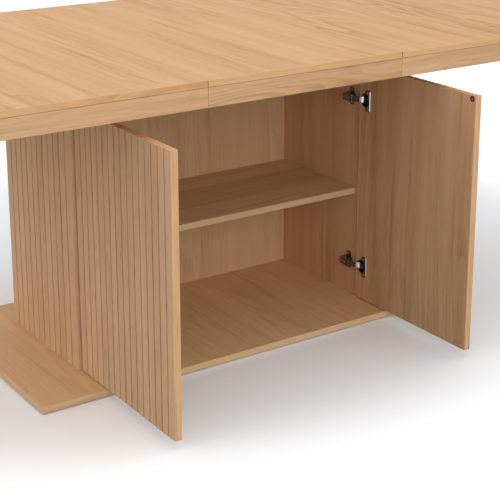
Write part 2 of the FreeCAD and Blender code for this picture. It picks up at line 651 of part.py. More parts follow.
LEAF_X = SEAM_X - SEAM_GAP
peg_holes = [rod(Vector(x, y, PANEL_Z), UP, PEG_R + SCREW_FIT, PEG_IN_PANEL + RECESS) for x, y in peg_places]
leaf_panel = board(-LEAF_X, LEAF_X, -TOP_Y, TOP_Y, PANEL_Z, TABLE_H)
save("leaf_panel", [leaf_panel.cut(peg_holes)])
save("leaf_apron_front", [apron(-LEAF_X, LEAF_X, -TOP_Y, -TOP_Y + APRON_T)])
save("leaf_apron_back", [apron(-LEAF_X, LEAF_X, TOP_Y - APRON_T, TOP_Y)])
leaf_block_x = LEAF_X - BLOCK
leaf_block_y = TOP_Y - APRON_T - BLOCK / 2
leaf_blocks = [block(end * leaf_block_x, row * leaf_block_y) for end in (-1, 1) for row in (-1, 1)]
save("leaf_glue_blocks", leaf_blocks)
peg_l = PEG_DROP + PEG_IN_PANEL
save("leaf_pegs", [rod(Vector(x, y, PANEL_Z - PEG_DROP), UP, PEG_R, peg_l) for x, y in peg_places])
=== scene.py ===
import math
from collections import namedtuple

import bpy
from mathutils import Matrix, Vector


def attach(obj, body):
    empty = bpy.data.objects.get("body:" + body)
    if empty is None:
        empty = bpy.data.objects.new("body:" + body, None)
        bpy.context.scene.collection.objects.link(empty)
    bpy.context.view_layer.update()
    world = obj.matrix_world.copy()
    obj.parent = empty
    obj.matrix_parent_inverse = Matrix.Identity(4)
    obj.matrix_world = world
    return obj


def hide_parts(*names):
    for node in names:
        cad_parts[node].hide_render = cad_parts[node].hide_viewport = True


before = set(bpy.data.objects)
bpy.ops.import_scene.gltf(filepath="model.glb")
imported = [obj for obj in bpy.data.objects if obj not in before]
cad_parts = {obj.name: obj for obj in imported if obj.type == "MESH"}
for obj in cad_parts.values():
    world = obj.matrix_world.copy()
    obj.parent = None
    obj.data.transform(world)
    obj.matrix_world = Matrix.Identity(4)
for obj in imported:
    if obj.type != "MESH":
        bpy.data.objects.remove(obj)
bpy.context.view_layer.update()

X_AXIS = Vector((1, 0, 0))
Y_AXIS = Vector((0, 1, 0))
Z_AXIS = Vector((0, 0, 1))
WHITE = (1.0, 1.0, 1.0, 1.0)


def chart(red, green, blue):
    """A colour as a paint chart gives it, 0 to 255, in the linear values that shaders take."""
    def linear(value):
        value /= 255
        return value / 12.92 if value <= 0.04045 else ((value + 0.055) / 1.055) ** 2.4
    return (linear(red), linear(green), linear(blue), 1.0)


# Shader nodes

# A mix node has a set of sockets for each type of data: its two inputs and its output.
MIX_SOCKETS = {"RGBA": (6, 7, 2), "VECTOR": (4, 5, 1)}


def node(tree, kind, wires=None, **settings):
    """A shader node; wires gives inputs a value or the output of another node."""
    made = tree.nodes.new(kind)
    for name, value in settings.items():
        setattr(made, name, value)
    for socket, source in (wires or {}).items():
        if isinstance(source, bpy.types.NodeSocket):
            tree.links.new(source, made.inputs[socket])
        else:
            made.inputs[socket].default_value = source
    return made


def maths(tree, operation, first, second=0.0, third=0.0):
    wires = {0: first, 1: second, 2: third}
    return node(tree, "ShaderNodeMath", wires, operation=operation).outputs[0]


def dot(tree, vector, axis):
    wires = {0: vector, 1: axis}
    return node(tree, "ShaderNodeVectorMath", wires, operation="DOT_PRODUCT").outputs["Value"]


def ramp(tree, value, start, end, low=0.0, high=1.0):
    """Value eased from low at start to high at end."""
    wires = {"Value": value, "From Min": start, "From Max": end, "To Min": low, "To Max": high}
    made = node(tree, "ShaderNodeMapRange", wires, interpolation_type="SMOOTHSTEP")
    return made.outputs["Result"]


def swing(tree, value, reach):
    """A value from 0 to 1 as a swing about zero, reach wide in all."""
    return maths(tree, "MULTIPLY_ADD", value, reach, -reach / 2)


def noise(tree, place, along, across, detail, roughness=0.5):
    """Cloudy values from 0 to 1, with so many lumps to the metre along and across the grain."""
    wires = {0: place, 1: (along, across, across)}
    spread = node(tree, "ShaderNodeVectorMath", wires, operation="MULTIPLY").outputs[0]
    wires = {"Vector": spread, "Scale": 1.0, "Detail": detail, "Roughness": roughness}
    return node(tree, "ShaderNodeTexNoise", wires).outputs["Fac"]


def mixed(tree, factor, first, second, kind="RGBA"):
    """First where the factor is 0 and second where it is 1."""
    from_socket, to_socket, result = MIX_SOCKETS[kind]
    wires = {0: factor, from_socket: first, to_socket: second}
    made = node(tree, "ShaderNodeMix", wires, data_type=kind, clamp_factor=False)
    return made.outputs[result]


def new_group(name, inputs):
    """An empty node group for a grain, with its sockets, its input node and its output node."""
    group = bpy.data.node_groups.new(name, "ShaderNodeTree")
    for label, kind in inputs:
        group.interface.new_socket(label, in_out="INPUT", socket_type="NodeSocket" + kind)
    for label, kind in (("Color", "Color"), ("Roughness", "Float"), ("Height", "Float")):
        group.interface.new_socket(label, in_out="OUTPUT", socket_type="NodeSocket" + kind)
    return group, group.nodes.new("NodeGroupInput"), group.nodes.new("NodeGroupOutput")


# Grain of wood, metal and plastic

# How far the wood's grain wanders sideways, slowly and quickly, in metres
DRIFT = 0.07
WAVER = 0.008
# Growth rings, and how many of them the arches bend by
RINGS_TO_METRE = 34.0
ARCH_RINGS = 16.0
RING_START = 0.2
RING_PEAK = 0.9
# Where noise turns into patches of growth lines, dark streaks and pores
PATCH_LIMITS = (0.42, 0.66)
DARK_LIMITS = (0.55, 0.75)
SPECK_LIMITS = (0.60, 0.76)
SPARSE_PORES = 0.3
# Depth of tone: 0 is the pale tone and 1 the deep one
DARK_SHARE = 0.45
STREAK_MIDDLE = 1.08
TONE_MIDDLE = 0.32
FIBRE_CONTRAST = 0.24
TONE_LIMITS = (-0.6, 1.4)
WOOD_ROUGHNESS = 0.50
DEEP_TONE_ROUGHNESS = 0.14
PORE_SINK = 0.8
LINE_SINK = 0.25
DRAWN_SHARE = 0.6
RUB_LIMITS = (0.45, 0.75)
PLASTIC_ROUGHNESS = 0.48
RUBBED_ROUGHNESS = 0.36


def make_wood_grain():
    """Wood grain along the first axis: growth lines, streaks, fibres, pores. Shade darkens it."""
    group, given, result = new_group("wood_grain", [
        ("Place", "Vector"), ("Pale", "Color"), ("Deep", "Color"), ("Pore", "Color"),
        ("Lines", "Float"), ("Streaks", "Float"), ("Pores", "Float"), ("Shade", "Float")])
    place = given.outputs["Place"]

    drift = swing(group, noise(group, place, along=1.0, across=2.2, detail=1.0), DRIFT)
    waver = swing(group, noise(group, place, along=6.0, across=16.0, detail=2.0), WAVER)
    sideways = maths(group, "ADD", drift, waver)
    shift = node(group, "ShaderNodeCombineXYZ", {"Y": sideways, "Z": sideways}).outputs[0]
    bent = node(group, "ShaderNodeVectorMath", {0: place, 1: shift}, operation="ADD").outputs[0]

    axes = node(group, "ShaderNodeSeparateXYZ", {0: bent})
    position = maths(group, "ADD", axes.outputs["Y"], axes.outputs["Z"])
    arches = noise(group, place, along=0.8, across=9.0, detail=2.0)
    arches = maths(group, "MULTIPLY", arches, ARCH_RINGS)
    rings = maths(group, "FRACT", maths(group, "MULTIPLY_ADD", position, RINGS_TO_METRE, arches))
    rise = ramp(group, rings, RING_START, RING_PEAK)
    fall = ramp(group, rings, RING_PEAK, 1.0, 1.0, 0.0)
    ring = maths(group, "MULTIPLY", rise, fall)
    patches = noise(group, place, along=0.8, across=3.6, detail=1.0)
    lines = maths(group, "MULTIPLY", ring, ramp(group, patches, *PATCH_LIMITS))

    broad = noise(group, bent, along=0.45, across=13.0, detail=2.0, roughness=0.55)
    narrow = noise(group, bent, along=0.8, across=46.0, detail=3.0, roughness=0.6)
    dark = noise(group, bent, along=0.9, across=30.0, detail=2.0, roughness=0.6)
    dark = ramp(group, dark, *DARK_LIMITS)
    fibre = noise(group, bent, along=7.0, across=420.0, detail=2.0)
    specks = noise(group, bent, along=24.0, across=520.0, detail=0.0)
    crowd = maths(group, "MAXIMUM", lines, dark)
    crowd = maths(group, "MULTIPLY_ADD", crowd, 1.0 - SPARSE_PORES, SPARSE_PORES)
    pores = maths(group, "MULTIPLY", ramp(group, specks, *SPECK_LIMITS), crowd)

    streak = maths(group, "ADD", broad, narrow)
    streak = maths(group, "MULTIPLY_ADD", dark, DARK_SHARE, streak)
    streak = maths(group, "SUBTRACT", streak, STREAK_MIDDLE)
    depth = maths(group, "MULTIPLY_ADD", streak, given.outputs["Streaks"], TONE_MIDDLE)
    depth = maths(group, "MULTIPLY_ADD", lines, given.outputs["Lines"], depth)
    depth = maths(group, "ADD", depth, swing(group, fibre, FIBRE_CONTRAST))
    depth = maths(group, "ADD", depth, given.outputs["Shade"])
    palest, deepest = TONE_LIMITS
    depth = maths(group, "MAXIMUM", maths(group, "MINIMUM", depth, deepest), palest)
    body = mixed(group, depth, given.outputs["Pale"], given.outputs["Deep"])
    dim = maths(group, "MULTIPLY", pores, given.outputs["Pores"])
    colour = mixed(group, dim, body, given.outputs["Pore"])
    group.links.new(colour, result.inputs["Color"])
    rough = maths(group, "MULTIPLY_ADD", depth, DEEP_TONE_ROUGHNESS, WOOD_ROUGHNESS)
    group.links.new(rough, result.inputs["Roughness"])
    height = maths(group, "MULTIPLY_ADD", pores, -PORE_SINK, fibre)
    height = maths(group, "MULTIPLY_ADD", lines, -LINE_SINK, height)
    group.links.new(height, result.inputs["Height"])
    return group


def make_metal_wear():
    """Fine drawn lines along the first axis and faint cloudy marks on bare metal."""
    group, given, result = new_group("metal_wear", [
        ("Place", "Vector"), ("Bright", "Color"), ("Dull", "Color"),
        ("Smooth", "Float"), ("Rough", "Float")])
    place = given.outputs["Place"]
    drawn = noise(group, place, along=40.0, across=2600.0, detail=2.0)
    cloud = noise(group, place, along=90.0, across=90.0, detail=2.0)
    cloud = maths(group, "MULTIPLY", cloud, 1.0 - DRAWN_SHARE)
    marks = maths(group, "MULTIPLY_ADD", drawn, DRAWN_SHARE, cloud)
    colour = mixed(group, marks, given.outputs["Bright"], given.outputs["Dull"])
    group.links.new(colour, result.inputs["Color"])
    spread = maths(group, "SUBTRACT", given.outputs["Rough"], given.outputs["Smooth"])
    rough = maths(group, "MULTIPLY_ADD", marks, spread, given.outputs["Smooth"])
    group.links.new(rough, result.inputs["Roughness"])
    group.links.new(drawn, result.inputs["Height"])
    return group


def make_moulded_grain():
    """The fine pebble of a moulded plastic face, a little rubbed in places."""
    group, given, result = new_group("moulded_grain", [
        ("Place", "Vector"), ("Colour", "Color"), ("Rubbed", "Color")])
    place = given.outputs["Place"]
    pebble = noise(group, place, along=2200.0, across=2200.0, detail=1.0)
    rub = ramp(group, noise(group, place, along=120.0, across=120.0, detail=2.0), *RUB_LIMITS)
    colour = mixed(group, rub, given.outputs["Colour"], given.outputs["Rubbed"])
    group.links.new(colour, result.inputs["Color"])
    change = RUBBED_ROUGHNESS - PLASTIC_ROUGHNESS
    rough = maths(group, "MULTIPLY_ADD", rub, change, PLASTIC_ROUGHNESS)
    group.links.new(rough, result.inputs["Roughness"])
    group.links.new(pebble, result.inputs["Height"])
    return group


WOOD_GRAIN = make_wood_grain()
METAL_WEAR = make_metal_wear()
MOULDED_GRAIN = make_moulded_grain()

# Finishes

Timber = namedtuple("Timber", "pale deep pore lines streaks pores")
# Slats on the outward face of a board: where that face lies, the axis that the slats are counted
# along, where the first one starts, their pitch, and the pale tone of the board's edges
Slats = namedtuple("Slats", "outward face along start pitch edge")

# Strength and depth of the relief
GRAIN_BUMP = (0.22, 0.0004)
DRAWN_BUMP = (0.08, 0.0001)
PEBBLE_BUMP = (0.12, 0.0001)
WOOD_SPECULAR = 0.08
PLASTIC_SPECULAR = 0.2
# A face counts as an end, or as turned outward, from this cosine up.
END_COSINE = 0.7
OUTWARD_COSINE = 0.15
# Grain on the ends comes from another part of the log.
BAND_OFFSET = 0.63

END_SHADE = -0.06
BASE_END_SHADE = -0.35
# Painted shade in the slats' grooves: the depth where it starts, the depth where it is full, and
# how much it deepens the tone
GROOVE_START = 0.0006
GROOVE_DEPTH = 0.0045
GROOVE_PAINTED_SHADE = 0.36
SLAT_TONE = 0.16
SLAT_STREAKS = 0.45
SLAT_LINE_LOSS = 0.7
# Painted light: the edges of slatted boards are paler by this much in tone
SLAT_EDGE_PAINTED_LIGHT = -0.45
SEAM_X = 0.263
SEAM_REACH = 0.0016
SEAM_SHADE = 1.6


def new_finish(name):
    """A material with an empty node tree, its shader already wired to its output."""
    finish = bpy.data.materials.new(name)
    finish.use_nodes = True
    tree = finish.node_tree
    tree.nodes.clear()
    shader = tree.nodes.new("ShaderNodeBsdfPrincipled")
    output = tree.nodes.new("ShaderNodeOutputMaterial")
    tree.links.new(shader.outputs["BSDF"], output.inputs["Surface"])
    return finish, tree, shader


def turned(tree, coords, along, across, offset=(0.0, 0.0, 0.0)):
    """Object coordinates with the grain's axes first, moved to another part of the log."""
    turn = Matrix((along, across, along.cross(across))).to_euler()
    wires = {"Vector": coords.outputs["Object"], "Location": offset, "Rotation": turn}
    return node(tree, "ShaderNodeMapping", wires).outputs["Vector"]


def dress(tree, shader, group, wires, strength, depth):
    """Places a grain in a material and wires it to the shader."""
    grain = node(tree, "ShaderNodeGroup", wires, node_tree=group).outputs
    tree.links.new(grain["Color"], shader.inputs["Base Color"])
    tree.links.new(grain["Roughness"], shader.inputs["Roughness"])
    wires = {"Strength": strength, "Distance": depth, "Height": grain["Height"]}
    relief = node(tree, "ShaderNodeBump", wires)
    tree.links.new(relief.outputs["Normal"], shader.inputs["Normal"])


def slat_shade(tree, coords, slats):
    """Masks of a slatted board's outward face and edges, and how much to darken it.

    Its edges are paler, a painted light; each slat has its own tone; and the grooves are deeper in
    tone, a painted shade that grows with depth below the face.
    """
    place = coords.outputs["Object"]
    tilt = dot(tree, coords.outputs["Normal"], slats.outward)
    faces_out = maths(tree, "GREATER_THAN", tilt, OUTWARD_COSINE)
    on_edge = maths(tree, "LESS_THAN", maths(tree, "ABSOLUTE", tilt), OUTWARD_COSINE)
    sunk = maths(tree, "SUBTRACT", slats.face, dot(tree, place, slats.outward))
    # Painted shade, deeper the further below the face
    groove = ramp(tree, sunk, GROOVE_START, GROOVE_DEPTH, 0.0, GROOVE_PAINTED_SHADE)
    from_start = maths(tree, "SUBTRACT", dot(tree, place, slats.along), slats.start)
    count = maths(tree, "FLOOR", maths(tree, "DIVIDE", from_start, slats.pitch))
    chance = node(tree, "ShaderNodeTexWhiteNoise", {"W": count}, noise_dimensions="1D")
    tone = swing(tree, chance.outputs["Value"], SLAT_TONE)
    shade = maths(tree, "MULTIPLY", maths(tree, "ADD", groove, tone), faces_out)
    # Painted light on the edges, added to the grooves' painted shade and each slat's own tone
    return faces_out, on_edge, maths(tree, "MULTIPLY_ADD", on_edge, SLAT_EDGE_PAINTED_LIGHT, shade)


def seam_shade(tree, coords):
    """The dark joint where the sections of the top meet."""
    from_middle = maths(tree, "ABSOLUTE", dot(tree, coords.outputs["Object"], X_AXIS))
    off = maths(tree, "ABSOLUTE", maths(tree, "SUBTRACT", from_middle, SEAM_X))
    return ramp(tree, off, 0.0, SEAM_REACH, SEAM_SHADE, 0.0)


def wood(name, along, across, offset, timber, slats=None, seams=False, end_shade=END_SHADE):
    """Wood with its grain along one axis, and across on the ends. Seams adds dark joints there."""
    finish, tree, shader = new_finish(name)
    shader.inputs["Specular IOR Level"].default_value = WOOD_SPECULAR
    coords = node(tree, "ShaderNodeTexCoord")
    face = turned(tree, coords, along, across, offset)
    band_offset = [part + BAND_OFFSET for part in offset]
    band = turned(tree, coords, across, along.cross(across), band_offset)
    end = maths(tree, "ABSOLUTE", dot(tree, coords.outputs["Normal"], along))
    on_end = maths(tree, "GREATER_THAN", end, END_COSINE)
    if seams:
        end_shade = maths(tree, "ADD", seam_shade(tree, coords), end_shade)
    wires = {"Place": mixed(tree, on_end, face, band, "VECTOR"),
             "Pale": timber.pale, "Deep": timber.deep, "Pore": timber.pore,
             "Lines": timber.lines, "Streaks": timber.streaks, "Pores": timber.pores,
             "Shade": maths(tree, "MULTIPLY", on_end, end_shade)}
    if slats:
        # Shade here carries the painted light on the edges and the painted shade in the grooves.
        on_slats, on_edge, wires["Shade"] = slat_shade(tree, coords, slats)
        wires["Pale"] = mixed(tree, on_edge, timber.pale, slats.edge)
        for socket, change, plain in (
                ("Streaks", SLAT_STREAKS - timber.streaks, timber.streaks),
                ("Lines", -SLAT_LINE_LOSS * timber.lines, timber.lines)):
            wires[socket] = maths(tree, "MULTIPLY_ADD", on_slats, change, plain)
    dress(tree, shader, WOOD_GRAIN, wires, *GRAIN_BUMP)
    return finish


def metal(name, tones, along, across, smooth, rough, metallic=1.0, changes=()):
    """Plated metal with its drawn lines along one axis.

    Each change is an axis, the two distances from the middle between which the colour changes,
    and the new colour.
    """
    finish, tree, shader = new_finish(name)
    shader.inputs["Metallic"].default_value = metallic
    coords = node(tree, "ShaderNodeTexCoord")
    bright, dull = tones
    for axis, (start, end), colour in changes:
        away = maths(tree, "ABSOLUTE", dot(tree, coords.outputs["Object"], axis))
        past = ramp(tree, away, start, end)
        bright = mixed(tree, past, bright, colour)
        dull = mixed(tree, past, dull, colour)
    wires = {"Place": turned(tree, coords, along, across), "Bright": bright, "Dull": dull,
             "Smooth": smooth, "Rough": rough}
    dress(tree, shader, METAL_WEAR, wires, *DRAWN_BUMP)
    return finish


def moulded(name, colour, rubbed):
    finish, tree, shader = new_finish(name)
    shader.inputs["Specular IOR Level"].default_value = PLASTIC_SPECULAR
    coords = node(tree, "ShaderNodeTexCoord")
    wires = {"Place": coords.outputs["Object"], "Colour": colour, "Rubbed": rubbed}
    dress(tree, shader, MOULDED_GRAIN, wires, *PEBBLE_BUMP)
    return finish


def finish_nodes(finish, *names):
    for name in names:
        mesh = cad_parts[name].data
        mesh.materials.clear()
        mesh.materials.append(finish)


# Boards

OAK_PORE = chart(150, 106, 70)
OAK_TOP = Timber(chart(236, 189, 139), chart(201, 150, 102), OAK_PORE,
                 lines=0.5, streaks=0.68, pores=0.45)
OAK_APRON = Timber(chart(229, 186, 142), chart(195, 147, 103), OAK_PORE,
                   lines=1.0, streaks=1.6, pores=0.5)
OAK_SLATS = Timber(chart(224, 185, 145), chart(191, 147, 106), OAK_PORE,
                   lines=0.34, streaks=0.95, pores=0.45)
OAK_BACK = Timber(chart(226, 189, 149), chart(193, 150, 111), OAK_PORE,
                  lines=0.2, streaks=0.55, pores=0.25)
OAK_SHELF = Timber(chart(218, 184, 147), chart(184, 146, 107), OAK_PORE,
                   lines=0.3, streaks=0.8, pores=0.4)
OAK_BASE = Timber(chart(237, 198, 153), chart(203, 158, 112), OAK_PORE,
                  lines=0.22, streaks=0.44, pores=0.24)
BEECH = Timber(chart(226, 190, 152), chart(198, 154, 114), chart(158, 110, 74),
               lines=0.12, streaks=0.5, pores=0.7)
OAK_DOOR_EDGE = chart(225, 180, 134)

# Each pitch is the board's width over its number of slats.
DOOR_FACE, DOOR_START, DOOR_PITCH = 0.418, -0.6035, 0.4225 / 16
SIDE_FACE, SIDE_START, SIDE_PITCH = 0.424, -0.169, 0.358 / 12
BACK_FACE, BACK_START, BACK_PITCH = 0.184, -0.408, 0.816 / 28
BACK_SLATS = Slats(Y_AXIS, BACK_FACE, X_AXIS, BACK_START, BACK_PITCH, OAK_BACK.pale)

for board, log, names in (
        ("oak_top_left", (0.0, 0.0, 0.0), ["top_panel_left"]),
        ("oak_leaf", (3.1, 5.2, 0.4), ["leaf_panel"]),
        ("oak_top_right", (6.3, 9.7, 0.9), ["top_panel_right"])):
    finish_nodes(wood(board, Y_AXIS, X_AXIS, log, OAK_TOP, seams=True), *names)
for board, log, names in (
        ("oak_apron_left", (1.2, 2.3, 0.2), ["apron_front_left", "apron_back_left"]),
        ("oak_apron_leaf", (4.7, 7.9, 3.2), ["leaf_apron_front", "leaf_apron_back"]),
        ("oak_apron_right", (8.4, 3.3, 5.2), ["apron_front_right", "apron_back_right"])):
    finish_nodes(wood(board, X_AXIS, Z_AXIS, log, OAK_APRON), *names)
finish_nodes(wood("oak_apron_ends", Y_AXIS, Z_AXIS, (2.2, 6.1, 7.7), OAK_APRON),
             "apron_end_left", "apron_end_right")
for side, outward, log in (("left", -X_AXIS, (1.5, 4.4, 2.8)), ("right", X_AXIS, (5.5, 1.3, 4.1))):
    slats = Slats(outward, DOOR_FACE, Y_AXIS, DOOR_START, DOOR_PITCH, OAK_DOOR_EDGE)
    finish_nodes(wood("oak_door_" + side, Z_AXIS, Y_AXIS, log, OAK_SLATS, slats),
                 "door_panel_" + side)
for side, outward, log in (("left", -X_AXIS, (7.5, 2.9, 6.3)), ("right", X_AXIS, (9.1, 8.2, 1.1))):
    slats = Slats(outward, SIDE_FACE, Y_AXIS, SIDE_START, SIDE_PITCH, OAK_SLATS.pale)
    finish_nodes(wood("oak_side_" + side, Z_AXIS, Y_AXIS, log, OAK_SLATS, slats),
                 "side_panel_" + side)
finish_nodes(wood("oak_back", Z_AXIS, X_AXIS, (2.7, 3.8, 9.4), OAK_BACK, BACK_SLATS), "back_panel")
finish_nodes(wood("oak_shelf", X_AXIS, Y_AXIS, (6.6, 0.8, 2.5), OAK_SHELF), "shelf", "cabinet_top")
finish_nodes(wood("oak_base", Y_AXIS, X_AXIS, (3.9, 7.2, 8.8), OAK_BASE, end_shade=BASE_END_SHADE),
             "base_plate")

finish_nodes(wood("beech_runners", X_AXIS, Y_AXIS, (0.3, 0.7, 0.1), BEECH),
             "runner_front_left", "runner_back_left", "runner_front_right", "runner_back_right",
             "glue_blocks_left", "glue_blocks_right", "leaf_glue_blocks")
finish_nodes(wood("beech_bearers", Y_AXIS, X_AXIS, (2.3, 1.7, 3.1), BEECH),
             "bearer_left", "bearer_right")
finish_nodes(wood("beech_pegs", Z_AXIS, X_AXIS, (5.3, 2.7, 1.4), BEECH), "leaf_pegs", "top_dowels")

# Metal and plastic

DARK_NICKEL = (chart(150, 147, 144), chart(112, 109, 106))
LINK_NICKEL = (chart(96, 92, 88), chart(70, 67, 64))
# Painted highlight: a near-white band on the links' tips and the flanges' front edges
PAINTED_HIGHLIGHT = chart(250, 249, 247)
# Painted shade with a bluish painted reflection inside the hinge cups
CUP_INSIDE_PAINTED_SHADE = chart(112, 118, 128)
# Distances from the middle at which a link's tip, a cup's mouth and a flange's front edge start;
# the tip and the edge get a painted highlight, the cup inside its mouth painted shade
LINK_TIP = (0.1835, 0.1855)
CUP_MOUTH = (0.3996, 0.4016)
FLANGE_EDGE = (0.2195, 0.2201)

finish_nodes(metal("nickel_arms", DARK_NICKEL, Y_AXIS, Z_AXIS, smooth=0.2, rough=0.36),
             "hinge_plates_left", "hinge_plates_right", "hinge_arms_left", "hinge_arms_right")
# The links' tips carry a painted highlight.
finish_nodes(metal("nickel_links", LINK_NICKEL, Z_AXIS, Y_AXIS, smooth=0.3, rough=0.45,
                   metallic=0.45, changes=[(Y_AXIS, LINK_TIP, PAINTED_HIGHLIGHT)]),
             "hinge_link_lower_left", "hinge_link_upper_left",
             "hinge_link_lower_right", "hinge_link_upper_right")
# The cups carry painted shade and a bluish painted reflection inside the mouth, and a painted
# highlight on the flange's front edge.
finish_nodes(metal("nickel_cups", DARK_NICKEL, Z_AXIS, Y_AXIS, smooth=0.2, rough=0.34,
                   changes=[(X_AXIS, CUP_MOUTH, CUP_INSIDE_PAINTED_SHADE), (Y_AXIS, FLANGE_EDGE, PAINTED_HIGHLIGHT)]),
             "hinge_cups_left", "hinge_cups_right")
ZINC = metal("zinc_screws", (chart(188, 190, 194), chart(142, 144, 150)), Z_AXIS, X_AXIS,
             smooth=0.25, rough=0.42)
finish_nodes(ZINC, "base_screws", "bearer_screws", "rail_screws",
             "runner_screws_left", "runner_screws_right", "shelf_pins")
BRONZE = metal("bronzed_screws", (chart(186, 142, 108), chart(148, 106, 78)), Z_AXIS, X_AXIS,
               smooth=0.3, rough=0.45, metallic=0.6)
finish_nodes(metal("rail_aluminium", (chart(206, 207, 210), chart(176, 177, 180)), X_AXIS, Y_AXIS,
                   smooth=0.28, rough=0.42),
             "rail_front", "rail_back")
BROWN_PLASTIC = moulded("brown_plastic", chart(80, 48, 30), chart(98, 62, 42))
finish_nodes(BROWN_PLASTIC, "floor_glides", "latch_housings",
             "latch_plunger_left", "latch_plunger_right")

# Small fittings, each modelled once and copied

UP_COSINE = 0.9
SMOOTH_BELOW = math.radians(32)
SCREW_SIDES = 32
SCREW_HEAD_R = 0.0032
SCREW_RIM = 0.0004
SCREW_SHANK_R = 0.0016
SCREW_SHANK_L = 0.0088
SCREW_TIP_L = 0.0012
SCREW_TIP_TAPER = 0.25
# Width and rise of each step from the rim to the middle
SCREW_STEPS = ((0.0005, 0.00025), (0.0009, 0.00015))
CROSS_L = 0.0038
CROSS_W = 0.0008
CROSS_H = 0.0008
CROSS_Z = 0.0007
CROSS_TAPER = 0.6
PAD_SIDES = 48
PAD_R = 0.007
PAD_T = 0.001
PAD_STEPS = ((0.0009, 0.0), (0.0006, -0.00025), (0.0022, 0.0), (0.0008, -0.0003))
PAD_BEVEL = 0.00018
PAD_BEVEL_ABOVE = math.radians(40)

# Where the fittings stand: out from the middle, along the depth, and up
HINGE_HEIGHTS = (0.113, 0.566)
CUP_SCREW_X, CUP_SCREW_Y, CUP_SCREW_STEP = 0.3988, -0.211, 0.0225
PLATE_SCREW_X, PLATE_SCREW_Y, PLATE_SCREW_STEP = 0.4055, -0.139, 0.016
ARM_SCREW_X, ARM_SCREW_YS = 0.3834, (-0.148, -0.1345)
STRIKE_PAD_X, STRIKE_SCREW_X, STRIKE_Y, STRIKE_Z = 0.4, 0.3997, -0.5915, 0.649
# Each copy is turned further than the last, in degrees.
COPY_TURN = 37.0


def begin(add, **sizes):
    """A new primitive, alone selected, with its place in its mesh."""
    bpy.ops.object.select_all(action="DESELECT")
    add(**sizes)
    bpy.ops.object.transform_apply(location=True, rotation=True, scale=True)
    return bpy.context.object


def pick(piece, wanted):
    """Edit mode, with only the faces selected whose normal is wanted."""
    if piece.mode == "EDIT":
        bpy.ops.object.mode_set(mode="OBJECT")
    for part in (*piece.data.vertices, *piece.data.edges):
        part.select = False
    for face in piece.data.polygons:
        face.select = wanted(face.normal)
    bpy.context.tool_settings.mesh_select_mode = (False, False, True)
    bpy.ops.object.mode_set(mode="EDIT")


def upward(normal):
    return normal.z > UP_COSINE


def downward(normal):
    return normal.z < -UP_COSINE


def push_out(distance):
    """Extrudes the selected faces by a distance up."""
    bpy.ops.mesh.extrude_region_move(TRANSFORM_OT_translate={"value": (0.0, 0.0, distance)})


def narrow_by(taper):
    """Scales the selected faces about their middle, in plan."""
    bpy.ops.transform.resize(value=(taper, taper, 1.0))


def finish_with(piece, kind, **settings):
    """Adds a modifier to the piece and applies it."""
    bpy.context.view_layer.objects.active = piece
    step = piece.modifiers.new(kind.lower(), kind)
    for name, value in settings.items():
        setattr(step, name, value)
    bpy.ops.object.modifier_apply(modifier=step.name)


def smooth(piece):
    bpy.ops.object.select_all(action="DESELECT")
    piece.select_set(True)
    bpy.context.view_layer.objects.active = piece
    bpy.ops.object.shade_smooth_by_angle(angle=SMOOTH_BELOW)


def model_crosshead():
    """A crosshead screw whose head stands on the origin, facing up."""
    screw = begin(bpy.ops.mesh.primitive_cylinder_add, vertices=SCREW_SIDES, radius=SCREW_HEAD_R,
                  depth=SCREW_RIM, location=(0.0, 0.0, SCREW_RIM / 2))
    pick(screw, upward)
    for width, rise in SCREW_STEPS:
        bpy.ops.mesh.inset(thickness=width, depth=rise)
    pick(screw, downward)
    bpy.ops.mesh.inset(thickness=SCREW_HEAD_R - SCREW_SHANK_R, depth=0.0)
    push_out(-SCREW_SHANK_L)
    push_out(-SCREW_TIP_L)
    narrow_by(SCREW_TIP_TAPER)
    bpy.ops.object.mode_set(mode="OBJECT")
    for length, width in ((CROSS_L, CROSS_W), (CROSS_W, CROSS_L)):
        wedge = begin(bpy.ops.mesh.primitive_cube_add, size=1.0, location=(0.0, 0.0, CROSS_Z),
                      scale=(length, width, CROSS_H))
        pick(wedge, downward)
        narrow_by(CROSS_TAPER)
        bpy.ops.object.mode_set(mode="OBJECT")
        finish_with(screw, "BOOLEAN", operation="DIFFERENCE", solver="EXACT", object=wedge)
        bpy.data.objects.remove(wedge)
    smooth(screw)
    return screw


def model_strike_pad():
    """A dished pad lying on the origin, facing up, with a countersunk middle."""
    pad = begin(bpy.ops.mesh.primitive_cylinder_add, vertices=PAD_SIDES, radius=PAD_R, depth=PAD_T,
                location=(0.0, 0.0, PAD_T / 2))
    pick(pad, upward)
    for width, rise in PAD_STEPS:
        bpy.ops.mesh.inset(thickness=width, depth=rise)
    bpy.ops.object.mode_set(mode="OBJECT")
    finish_with(pad, "BEVEL", width=PAD_BEVEL, segments=2, limit_method="ANGLE",
                angle_limit=PAD_BEVEL_ABOVE)
    smooth(pad)
    return pad


def place_copies(name, master, spots, end, finish):
    """Copies of a fitting on the faces that look into the cabinet, joined as one piece."""
    facing = Matrix.Rotation(math.radians(-90.0 * end), 4, "Y")
    copies = []
    for count, (out, along, up) in enumerate(spots):
        copy = bpy.data.objects.new(name, master.data.copy())
        bpy.context.scene.collection.objects.link(copy)
        spin = Matrix.Rotation(math.radians(COPY_TURN * count), 4, "Z")
        copy.data.transform(Matrix.Translation((end * out, along, up)) @ facing @ spin)
        copies.append(copy)
    bpy.ops.object.select_all(action="DESELECT")
    for copy in copies:
        copy.select_set(True)
    bpy.context.view_layer.objects.active = copies[0]
    if len(copies) > 1:
        bpy.ops.object.join()
    piece = bpy.context.object
    piece.name = piece.data.name = name
    piece.data.materials.clear()
    piece.data.materials.append(finish)
    return piece


def pairs(out, along, step):
    """Spots above and below the middle of each hinge."""
    return [(out, along, up + change) for up in HINGE_HEIGHTS for change in (-step, step)]


